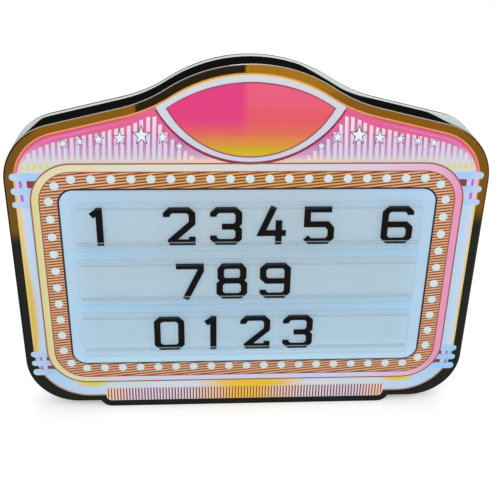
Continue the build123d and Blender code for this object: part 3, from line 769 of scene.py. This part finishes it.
def bar(inner, outer, up, tall):
    """A bar with round ends from inner to outer, in bulb steps."""
    (left, low), (right, high) = steps_to_mm([(inner, up - tall / 2), (outer, up + tall / 2)])
    return rounded(left, right, low, high, (high - low) / 2 * round_share, 6)


def block(inner, outer, low, high):
    """A square block, in bulb steps."""
    return steps_to_mm([(inner, low), (outer, low), (outer, high), (inner, high)])


bars = [bar(10.35, 12.0, 5.87, 0.4), bar(10.98, 12.0, 5.1, 0.36), bar(11.08, 12.0, 4.36, 0.34)]
bars += [bar(11.18, 12.0, -4.78, 0.36), bar(11.0, 12.0, -5.38, 0.36), bar(10.75, 11.98, -5.98, 0.42)]
slots = [block(11.18, 11.7, 4.4, 5.85), block(11.18, 11.52, -5.95, -4.75)]
lines = [block(11.4, 11.54, low, high) for low, high in (
    (5.3, 5.66), (4.55, 4.9), (-5.2, -4.97), (-5.8, -5.57))]
maroons = [
    block(10.72, 11.16, 5.28, 5.68), block(10.75, 11.16, -5.8, -5.55), block(11.0, 11.17, -5.2, -4.96)]

sky_bar = Finish("print_bars")
x, y, z = sky_bar.place()
bar_colour = sky_bar.mix(sky_bar.between(abs(x), 200, 216), (164, 202, 238), (184, 208, 236))
low_right = sky_bar.between(x, 150, 200) * (1 - sky_bar.between(z, 90, 150))
bar_colour = sky_bar.mix(low_right, bar_colour, (154, 204, 246))
slot_ink = graded("print_slots", "aside", [(206, (190, 204, 242)), (214, (216, 192, 240))])
maroon_ink = graded("print_maroon", "up", [(270, (134, 46, 78)), (300, (138, 36, 74))])
purple_ink = speckled("print_slot_lines", 5, (160, 104, 186), (176, 122, 198))
ink("print_slots", both_sides(slots), 1, slot_ink)
ink("print_slot_lines", both_sides(lines), 2, purple_ink)
ink("print_maroon", both_sides(maroons), 1, maroon_ink)
ink("print_bars", both_sides(bars), 2, printed(sky_bar, bar_colour))
print("bars:", 2 * len(bars))

# %% [markdown]
# ## Stripes, drops and stars of the shoulders
# White stripes stand side by side on the pink, each as tall as the shoulder above it allows, and lean
# a little to the middle. Small yellow drops close the row, and seven stars of different sizes, white
# with a soft ring and a dark edge, sit on the stripes of each side. One side is drawn, and mirrored.

# %% Shoulder stripes and drops
stripe_tops = [
    (2.95, 7.0), (3.25, 7.25), (3.55, 7.5), (3.88, 7.85), (4.2, 8.2), (4.46, 8.62), (4.72, 9.02),
    (5.02, 9.0), (5.36, 8.86), (5.66, 8.7), (5.98, 8.56), (6.3, 8.46), (6.6, 8.4), (6.92, 8.34),
    (7.22, 8.26), (7.54, 8.18), (7.86, 8.12), (8.18, 8.06), (8.5, 8.0), (8.78, 7.94), (9.1, 7.86),
    (9.4, 7.78), (9.7, 7.7), (10.0, 7.6), (10.33, 7.46), (10.65, 7.3), (10.95, 7.12)]
stripe_foot, stripe_half, stripe_lean, stripe_slant, stripe_inward = 6.74, 0.09, 0.05, 0.025, 0.025
stripes = []
for place, top in stripe_tops:
    head_left, head_right = place - stripe_inward - stripe_half, place - stripe_inward + stripe_half
    shift = (top - stripe_foot) * stripe_lean
    stripes.append(steps_to_mm([
        (head_left + shift, stripe_foot), (head_right + shift, stripe_foot),
        (head_right, top - stripe_slant), (head_left, top + stripe_slant)]))
white = Finish("print_stripes")
x, y, z = white.place()
foot_tone = white.mix(white.between(abs(x), 52, 80), (236, 218, 200), (218, 214, 218))
stripe_colour = white.blend(z, [
    (278, foot_tone), (290, (213, 210, 233)), (312, (230, 217, 236)), (322, (242, 221, 234))])
ink("print_stripes", both_sides(stripes), 2, printed(white, stripe_colour))

drop_low, drop_tip, drop_lean = 6.28, 6.73, 0.03
drop_radius, waist_up, waist_right, waist_left = 1.7, 4.0, 1.2, 1.4
drops = []
for across in (10.09, 10.4, 10.71, 11.02, 11.33):
    (foot_x, foot_z), tip = steps_to_mm([(across, drop_low), (across - drop_lean, drop_tip)])
    waist_z = foot_z + waist_up
    drop = arc((foot_x, foot_z), drop_radius, 180, 360, 8)
    drops.append(drop + [(foot_x + waist_right, waist_z), tip, (foot_x - waist_left, waist_z)])
lime_ink = graded("print_drops", "up", [
    (268, (222, 224, 180)), (271, (213, 213, 122)), (274.5, (217, 214, 136)), (278, (224, 218, 204))])
ink("print_drops", both_sides(drops), 2, lime_ink)
print("stripes:", 2 * len(stripes), "drops:", 2 * len(drops))

# %% Shoulder stars
star_slim, star_tall, star_inward, hollow_share = 0.93, 1.09, 0.035, 0.42
star_places = [
    (9.22, 7.66, 0.25), (8.42, 7.76, 0.25), (7.5, 7.86, 0.30), (6.45, 7.92, 0.37), (5.4, 8.06, 0.47),
    (4.36, 7.96, 0.34), (3.56, 7.5, 0.25)]


def stars(share):
    """The five-pointed stars of both sides, each standing on two points, at a share of their size."""
    loops = []
    for across, up, radius in star_places:
        points = []
        for i in range(10):
            angle = math.radians(90 + 36 * i)
            out = radius * share * (1 if i % 2 == 0 else hollow_share)
            aside, rise = out * math.cos(angle) * star_slim, out * math.sin(angle) * star_tall
            points.append((across - star_inward + aside, up + rise))
        loops.append(steps_to_mm(points))
    return both_sides(loops)


dark_star = speckled("print_star_edges", 5, (92, 74, 88), (112, 92, 104))
soft_star = speckled("print_star_rings", 5, (206, 178, 206), (220, 196, 218))
white_star = graded("print_stars", "up", [(286, (226, 232, 242)), (306, (232, 238, 246))])
for name, share, level, star_ink in (
    ("print_star_edges", 1.14, 3, dark_star),
    ("print_star_rings", 0.92, 4, soft_star),
    ("print_stars", 0.8, 5, white_star),
):
    ink(name, stars(share), level, star_ink)
print("stars:", 2 * len(star_places))

# %% [markdown]
# ## The panel in the dome
# Two arcs meet in a lens shape. It runs from magenta through coral and orange to yellow and has a thin dark
# rim; its upper left is a deeper magenta, a painted dark reflection. Its white border warms up under the
# orange edge line, and a printed dark red shadow lies below.

# %% Dome panel


def lens(tip_x, tip_z, top, foot):
    """Two arcs that meet in points, in bulb steps."""
    loop = []
    for end in (top, foot):
        sag = abs(end - tip_z)
        radius = (tip_x ** 2 + sag ** 2) / (2 * sag)
        spread_angle = math.degrees(math.asin(tip_x / radius))
        heading = 90 if end > tip_z else 270
        middle = (0, end - radius if end > tip_z else end + radius)
        loop += arc(middle, radius, heading - spread_angle, heading + spread_angle, 24)[:-1]
    return steps_to_mm(loop)


border_half, border_tip, border_top, border_foot = 4.64, 9.5, 11.13, 6.66
shadow_half, shadow_top, shadow_drop = 4.66, 10.4, 0.15
panel_half, panel_tip, panel_top, panel_foot = 4.1, 9.45, 10.72, 6.93
rim_out, rim_in = 0.04, 0.03
shadow = lens(shadow_half, border_tip - shadow_drop, shadow_top, border_foot - shadow_drop)
ink("print_dome_shadow", [shadow], 3, maroon_ink)
border = Finish("print_dome_border")
x, y, z = border.place()
border_colour = border.mix(border.between(z, 276, 350), (206, 206, 220), (210, 214, 226))
crown_far = dome_radius - margin - line_wide
warm_wide = 3.5
above = z - dome_middle[1]
warm_rim = border.between(x * x + above * above, (crown_far - warm_wide) ** 2, crown_far ** 2)
warm_rim = warm_rim * (1 - border.between(abs(x), 45, 80))
border_colour = border.mix(warm_rim, border_colour, (232, 206, 172))
border_loop = lens(border_half, border_tip, border_top, border_foot)
ink("print_dome_border", [border_loop], 4, printed(border, border_colour))
dome = Finish("print_dome")
x, y, z = dome.place()
dome_colour = dome.blend(z, [
    (281, (202, 190, 6)), (288, (208, 172, 14)), (295, (216, 140, 54)), (305, (224, 104, 82)),
    (318, (226, 86, 98)), (338, (232, 88, 122))])
# Painted dark reflection: deeper magenta on the panel's upper left
dark_reflection_on_panel = (1 - dome.between(x, -10, 0)) * dome.between(z, 296, 322)
dome_colour = dome.mix(dark_reflection_on_panel * 0.85, dome_colour, (222, 46, 124))
panel_loop = lens(panel_half, panel_tip, panel_top, panel_foot)
ink("print_dome", [panel_loop], 5, printed(dome, dome_colour, gloss=0.18))
rim_loops = [
    lens(panel_half + rim_out, panel_tip, panel_top + rim_out, panel_foot - rim_out),
    lens(panel_half - rim_out, panel_tip, panel_top - rim_in, panel_foot + rim_in)]
ink("print_dome_rim", rim_loops, 6, speckled("print_dome_rim", 12, (150, 62, 92), (164, 74, 96)))
print("dome panel")

# %% [markdown]
# ## The ribbed strip of the foot
# Fine upright ribs run along the foot, dark on a pale ground, with a golden middle. One rib is drawn
# and repeated by its step; the ground below them has rounded lower corners.

# %% Foot ribs
rib_reach, rib_low, rib_high, rib_corner = 146.2, 7.9, 23.6, 5.5
ground = arc((-rib_reach + rib_corner, rib_low + rib_corner), rib_corner, 180, 270, 6)
ground += arc((rib_reach - rib_corner, rib_low + rib_corner), rib_corner, 270, 360, 6)
ground += [(rib_reach, rib_high), (-rib_reach, rib_high)]
rib_pitch, rib_half, rib_count = 3.17, 0.69, 92
foot_gap, head_gap, corner_slope = 0.3, 0.4, 0.7
ribs = []
for i in range(rib_count):
    middle = (i - (rib_count - 1) / 2) * rib_pitch
    low = rib_low + foot_gap + max(0.0, abs(middle) - rib_reach + rib_corner) * corner_slope
    high = rib_high - head_gap
    left, right = middle - rib_half, middle + rib_half
    ribs.append([(left, low), (right, low), (right, high), (left, high)])
ground_ink = graded("print_rib_ground", "aside", [
    (10, (244, 204, 92)), (36, (242, 216, 194)), (70, (236, 220, 230)), (115, (234, 216, 230)),
    (140, (250, 222, 200))])
rib_ink = graded("print_ribs", "aside", [
    (8, (160, 92, 18)), (30, (142, 74, 42)), (60, (108, 66, 82)), (115, (104, 68, 92)),
    (142, (146, 76, 58))])
ink("print_rib_ground", [ground], 2, ground_ink)
ink("print_ribs", ribs, 3, rib_ink)
print("ribs:", len(ribs))

# %% [markdown]
# ## Bulbs
# Each bulb is a flush opal button: a round cap on the print with a softly sunk rim, and a plug in its
# hole. The solids' plugs have few sides, so round ones replace them. One button is modelled from a
# cylinder by inset and extrude, and copied to the middle of every plug of the CAD model.

# %% Places of repeated solids


def solid_middles(node):
    """The middle of each loose solid of a CAD node, found by joining corners that share a face."""
    mesh = nodes[node].data
    corners = [tuple(round(part, 6) for part in vertex.co) for vertex in mesh.vertices]
    parent = {corner: corner for corner in corners}

    def root(corner):
        while parent[corner] != corner:
            corner = parent[corner]
        return corner

    for face in mesh.polygons:
        first, *others = [corners[i] for i in face.vertices]
        for other in others:
            parent[root(other)] = root(first)
    groups = {}
    for corner in parent:
        groups.setdefault(root(corner), []).append(corner)
    middles = []
    for group in groups.values():
        lows, highs = [min(part) for part in zip(*group)], [max(part) for part in zip(*group)]
        middles.append(tuple((low + high) / 2 for low, high in zip(lows, highs)))
    return sorted(middles)


bulb_middles = solid_middles("bulb_lenses")
screw_middles = solid_middles("cover_screws")
print("bulbs:", len(bulb_middles), "screws:", len(screw_middles))

# %% Modelling helpers


def pick_faces(thing, wanted):
    """Selects only the faces that the test wants, ready for edit mode."""
    bpy.ops.object.mode_set(mode="OBJECT")
    for part in (*thing.data.vertices, *thing.data.edges, *thing.data.polygons):
        part.select = False
    for face in thing.data.polygons:
        face.select = wanted(face)
    bpy.ops.object.mode_set(mode="EDIT")
    bpy.ops.mesh.select_mode(type="FACE")


def round_bar(radius, near, far, sides):
    """A new cylinder along Y from near to far, with its place in its mesh."""
    pick_only()
    bpy.ops.mesh.primitive_cylinder_add(
        vertices=sides, radius=radius, depth=far - near, location=(0, (near + far) / 2, 0),
        rotation=(math.pi / 2, 0, 0))
    bpy.ops.object.transform_apply(location=True, rotation=True, scale=True)
    return bpy.context.object


def spread(thing, name, places):
    """Copies a piece, each copy with its own mesh, to these (x, z) places and joins them."""
    copies = []
    for x, z in places:
        copy = bpy.data.objects.new(name, thing.data.copy())
        copy.data.transform(Matrix.Translation((x, 0, z)))
        scene.collection.objects.link(copy)
        copies.append(copy)
    bpy.data.objects.remove(thing)
    pick_only(*copies)
    bpy.ops.object.join()
    joined = bpy.context.object
    joined.name = name
    return joined


round_sides = 28
print("modelling helpers ready")

# %% Bulbs
cap_radius, cap_rise, cap_seat = 4.15 * mm, 0.65 * mm, 4 * layer
plug_shrink, plug_length = 0.55 * mm, 3.1 * mm
button = round_bar(cap_radius, face_y - cap_rise, face_y - cap_seat, round_sides)
pick_faces(button, lambda face: face.normal.y < -0.9)
for ring_wide, ring_depth in ((0.35 * mm, 0.1 * mm), (1.6 * mm, 0.12 * mm)):
    bpy.ops.mesh.inset(thickness=ring_wide, depth=ring_depth)
pick_faces(button, lambda face: face.normal.y > 0.9)
bpy.ops.mesh.inset(thickness=plug_shrink)
bpy.ops.mesh.extrude_region_move(TRANSFORM_OT_translate={"value": (0, plug_length, 0)})
bpy.ops.object.mode_set(mode="OBJECT")
bulbs = spread(button, "bulbs", [(x, z) for x, y, z in bulb_middles])
bpy.ops.object.shade_smooth_by_angle(angle=math.radians(40))
bulb_finish = Finish("opal_bulb")
milk = bulb_finish.noise(5)
cloud = bulb_finish.mix(milk, (202, 219, 224), (220, 231, 232))
bulbs.data.materials.append(bulb_finish.surface(
    Base_Color=cloud, Roughness=0.3 + milk * 0.1, Specular_IOR_Level=0.3))
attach(bulbs, "housing")
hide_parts("bulb_lenses")
print("bulbs made:", len(bulb_middles))

# %% [markdown]
# ## Raised lips of the lower rails
# Each lower rail's lip stands a little higher in front of the cards and ends in a bead. The bead carries
# a painted glow, a painted highlight of the lip's top edge, so it shows as a pale line across the black
# foot of a sign and as a faint dark one beside it.

# %% Rail lips
lip_rise, lip_deep = 3.4 * mm, 1.1 * mm
bead_tall, bead_deep, web_deep, web_root = 0.5 * mm, 0.9 * mm, 0.6 * mm, 0.3 * mm


def lip_bar(name, low, high, deep, finish):
    """A bar along each lower rail, between two heights over its lip and half way through the lip."""
    rail_low, rail_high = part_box("rail_1_lower")
    pick_only()
    bpy.ops.mesh.primitive_cube_add(
        size=1, location=(0, rail_low.y + lip_deep / 2, (low + high) / 2),
        scale=(rail_high.x - rail_low.x, deep, high - low))
    bpy.ops.object.transform_apply(location=True, rotation=True, scale=True)
    lips = spread(bpy.context.object, name, [(0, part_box(f"rail_{row}_lower")[1].z) for row in (1, 2, 3)])
    lips.data.materials.append(finish)
    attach(lips, "housing")


# The bead's pale tone and glow are a painted highlight of the lip's top edge
bead = Finish("lip_bead")
streaks = bead.noise(20, stretch=(0.15, 1, 1))
bead_highlight_tone = bead.mix(streaks, (154, 166, 174), (166, 178, 186))
bead_painted_highlight = carrying(bead, bead_highlight_tone, 0.15, streaks, 0.42)
web_tint = (176, 202, 222)
web_clear = clear("clear_web", web_tint, 0.01, web_tint, 0.02, web_tint, 0.02)
lip_bar("rail_webs", -web_root, lip_rise - bead_tall / 2, web_deep, web_clear)
lip_bar("rail_beads", lip_rise - bead_tall, lip_rise, bead_deep, bead_painted_highlight)
print("raised lips on three lower rails")

# %% [markdown]
# ## Numbers on the cards
# Every card carries one big square-built sign. The board shows plain numbers here. A sign is a path
# for the pen with a constant width, so each number is a list of paths, and the pen's two edges are
# worked out with mitred corners. The ink lies on the card's front and slides with its card.

# %% Pen strokes
pen = 6.4


def stroke(path, closed=False):
    """The two edges of a pen line along a path, as one loop, or two loops for a closed path."""
    count, half = len(path), pen / 2
    edges = {1: [], -1: []}
    for i, (x, z) in enumerate(path):
        normals = []
        for a, b in ((i - 1, i), (i, i + 1)):
            if closed or (a >= 0 and b < count):
                dx, dz = (path[b % count][k] - path[a % count][k] for k in (0, 1))
                length = math.hypot(dx, dz)
                normals.append((-dz / length, dx / length))
        (fx, fz), (lx, lz) = normals[0], normals[-1]
        mitre = half / (1 + fx * lx + fz * lz)
        inner = 1 if fx * lz - fz * lx > 0 else -1
        for side, edge in edges.items():
            if mitre > pen and side != inner:
                out = side * half
                edge += [(x + out * fx, z + out * fz), (x + out * lx, z + out * lz)]
            else:
                edge.append((x + side * mitre * (fx + lx), z + side * mitre * (fz + lz)))
    if closed:
        return [edges[1], edges[-1]]
    return [edges[1] + edges[-1][::-1]]


print("pen width, mm:", pen)

# %% Paths of the numbers
number_tall, number_half, waist, cut = 33.6, 12.0, 17.2, 4.0
# Short forms for the points below: half width, height and corner cut
w, t, c = number_half, number_tall, cut
hook = [(w, t - c - 2.5), (w, t - c), (w - c, t), (c - w, t), (-w, t - c), (-w, c), (c - w, 0),
        (w - c, 0), (w, c), (w, waist - c), (w - c, waist), (2 - w + pen, waist)]
top_bend = [(-w, t - c - 3), (-w, t - c), (c - w, t), (w - c, t), (w, t - c), (w, waist + 3)]
bridge = [(-w, waist), (3 - w + pen, waist)]
number_paths = {
    0: [([(c - w, 0), (w - c, 0), (w, c), (w, t - c), (w - c, t), (c - w, t), (-w, t - c), (-w, c)], True)],
    1: [([(1, -pen / 2), (1, t + pen / 2)], False), ([(-6.5, t - 5.5), (1, t)], False)],
    2: [(top_bend + [(2.5 - w, 0), (w, 0), (w, c + 2)], False)],
    3: [(top_bend + [(w - 3.5, waist - 1), (w, waist - 5), (w, c), (w - c, 0), (c - w, 0), (-w, c),
                     (-w, c + 3)], False),
        ([(-4, waist - 1), (w - 3.5, waist - 1)], False)],
    4: [([(1, t + pen / 2), (1.5 - w, 9), (w + 1, 9)], False),
        ([(w - 6, -pen / 2), (w - 6, t - 11)], False)],
    5: [([(w, t), (1 - w, t), (1 - w, waist + 0.8), (w - c, waist + 0.8), (w, waist - c), (w, c),
          (w - c, 0), (c - w, 0), (-w, c)], False)],
    6: [(hook, False), (bridge, False)],
    7: [([(-w, t), (w, t), (w, t - 5), (-3, -pen / 2)], False)],
    8: [([(c - w, 0), (w - c, 0), (w, c), (w, waist - c), (w - c, waist), (c - w, waist), (-w, waist - c),
          (-w, c)], True),
        ([(c - w, waist), (w - c, waist), (w - 1, waist + c), (w - 1, t - c), (w - c, t), (c - w, t),
          (1 - w, t - c), (1 - w, waist + c)], True)],
    9: [([(-x, t - z) for x, z in path], False) for path in (hook, bridge)],
}
print("numbers drawn:", len(number_paths))

# %% Numbers on the cards
rows = {1: (1, 2, 3, 4, 5, 6), 2: (7, 8, 9), 3: (0, 1, 2, 3)}
black = Finish("number_ink")
wear = black.noise(7, detail=3)
number_ink = black.surface(
    Base_Color=black.mix(wear, (13, 11, 9), (22, 18, 15)), Roughness=0.4 + wear * 0.15,
    Specular_IOR_Level=0.05)
card_seat_lift, crossing_share = 1.1, 0.25
for row, numbers in rows.items():
    for place, number in enumerate(numbers, start=1):
        card = f"card_{row}_{place}"
        low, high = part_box(card)
        middle_x = (low.x + high.x) / 2 / mm
        base = (low.z + high.z) / 2 / mm + card_seat_lift - number_tall / 2
        for i, (path, closed) in enumerate(number_paths[number]):
            moved = [(x + middle_x, z + base) for x, z in path]
            ink(f"number_{row}_{place}_{i + 1}", stroke(moved, closed), 0, number_ink, card,
                low.y, layer * (1 + i * crossing_share))
print("numbers on", sum(len(numbers) for numbers in rows.values()), "cards")

# %% [markdown]
# ## Screws of the back
# Eight pan-head screws hold the back. A pan head is a short cylinder with its rim rolled over by a
# bevel, and a cross recess is two crossed slots cut out of it with a Boolean.

# %% Screws
cover_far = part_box("back_cover")[1].y
screws_low, screws_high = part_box("cover_screws")
head_radius, shank_radius, head_roll = 2.8 * mm, 1.4 * mm, 0.7 * mm
head_far = screws_high.y
screw = round_bar(head_radius, cover_far, head_far, round_sides)
pick_faces(screw, lambda face: face.normal.y > 0.9)
bpy.ops.mesh.bevel(offset=head_roll, segments=4, affect="EDGES")
pick_faces(screw, lambda face: face.normal.y < -0.9)
bpy.ops.mesh.inset(thickness=head_radius - shank_radius)
bpy.ops.mesh.extrude_region_move(TRANSFORM_OT_translate={"value": (0, screws_low.y - cover_far, 0)})
bpy.ops.object.mode_set(mode="OBJECT")
slot_long, slot_wide, slot_deep = 3.2 * mm, 0.75 * mm, 1.1 * mm
for across, up in ((slot_long, slot_wide), (slot_wide, slot_long)):
    pick_only()
    bpy.ops.mesh.primitive_cube_add(size=1, location=(0, head_far, 0), scale=(across, 2 * slot_deep, up))
    cutter = bpy.context.object
    pick_only(screw)
    cut_out = screw.modifiers.new("cross", "BOOLEAN")
    cut_out.object = cutter
    cut_out.solver = "EXACT"
    bpy.ops.object.modifier_apply(modifier=cut_out.name)
    bpy.data.objects.remove(cutter)
screws = spread(screw, "back_screws", [(x, z) for x, y, z in screw_middles])
bpy.ops.object.shade_smooth_by_angle(angle=math.radians(35))
screws.data.materials.clear()
screws.data.materials.append(case_finishes["zinc_steel"])
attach(screws, "housing")
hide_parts("cover_screws")
print("screws:", len(screw_middles))

# %% [markdown]
# ## Marks on the switch
# The rocker has a dished face of two halves. A bar marks the half that switches on and a ring the half
# that switches off. Each mark is drawn flat, turned to the slope of its half and carried by the rocker.

# %% Switch marks
joints = {joint["name"]: joint for joint in frame["record"]["behaviour"]["joints"]}
half_lean, rest_lean, half_out, half_up = 8.3, 10.0, 4.0 * mm, 4.1 * mm
mark_thick = 0.06 * mm
mark_ink = speckled("switch_marks", 2, (214, 214, 210), (232, 232, 228), gloss=0.4)
bar_half, bar_reach, bar_corner, ring_radii = 0.4, 1.7, 0.2, (1.8, 1.1)
marks = {
    "switch_mark_on": (1, [rounded(-bar_half, bar_half, -bar_reach, bar_reach, bar_corner, 3)]),
    "switch_mark_off": (-1, [arc((0, 0), radius, 0, 350, 35) for radius in ring_radii]),
}
for name, (side, loops) in marks.items():
    mark = ink(name, loops, 0, mark_ink, "switch_rocker", mark_thick, mark_thick)
    mark.data.transform(Matrix.Rotation(math.radians(-half_lean * side), 4, "X"))
    mark.data.transform(Matrix.Translation((0, half_out, half_up * side)))
    mark.data.transform(Matrix.Rotation(math.radians(-rest_lean), 4, "X"))
    mark.data.transform(Matrix.Translation(joints["rocker_tilt"]["pos_m"]))
print("switch marks:", len(marks))
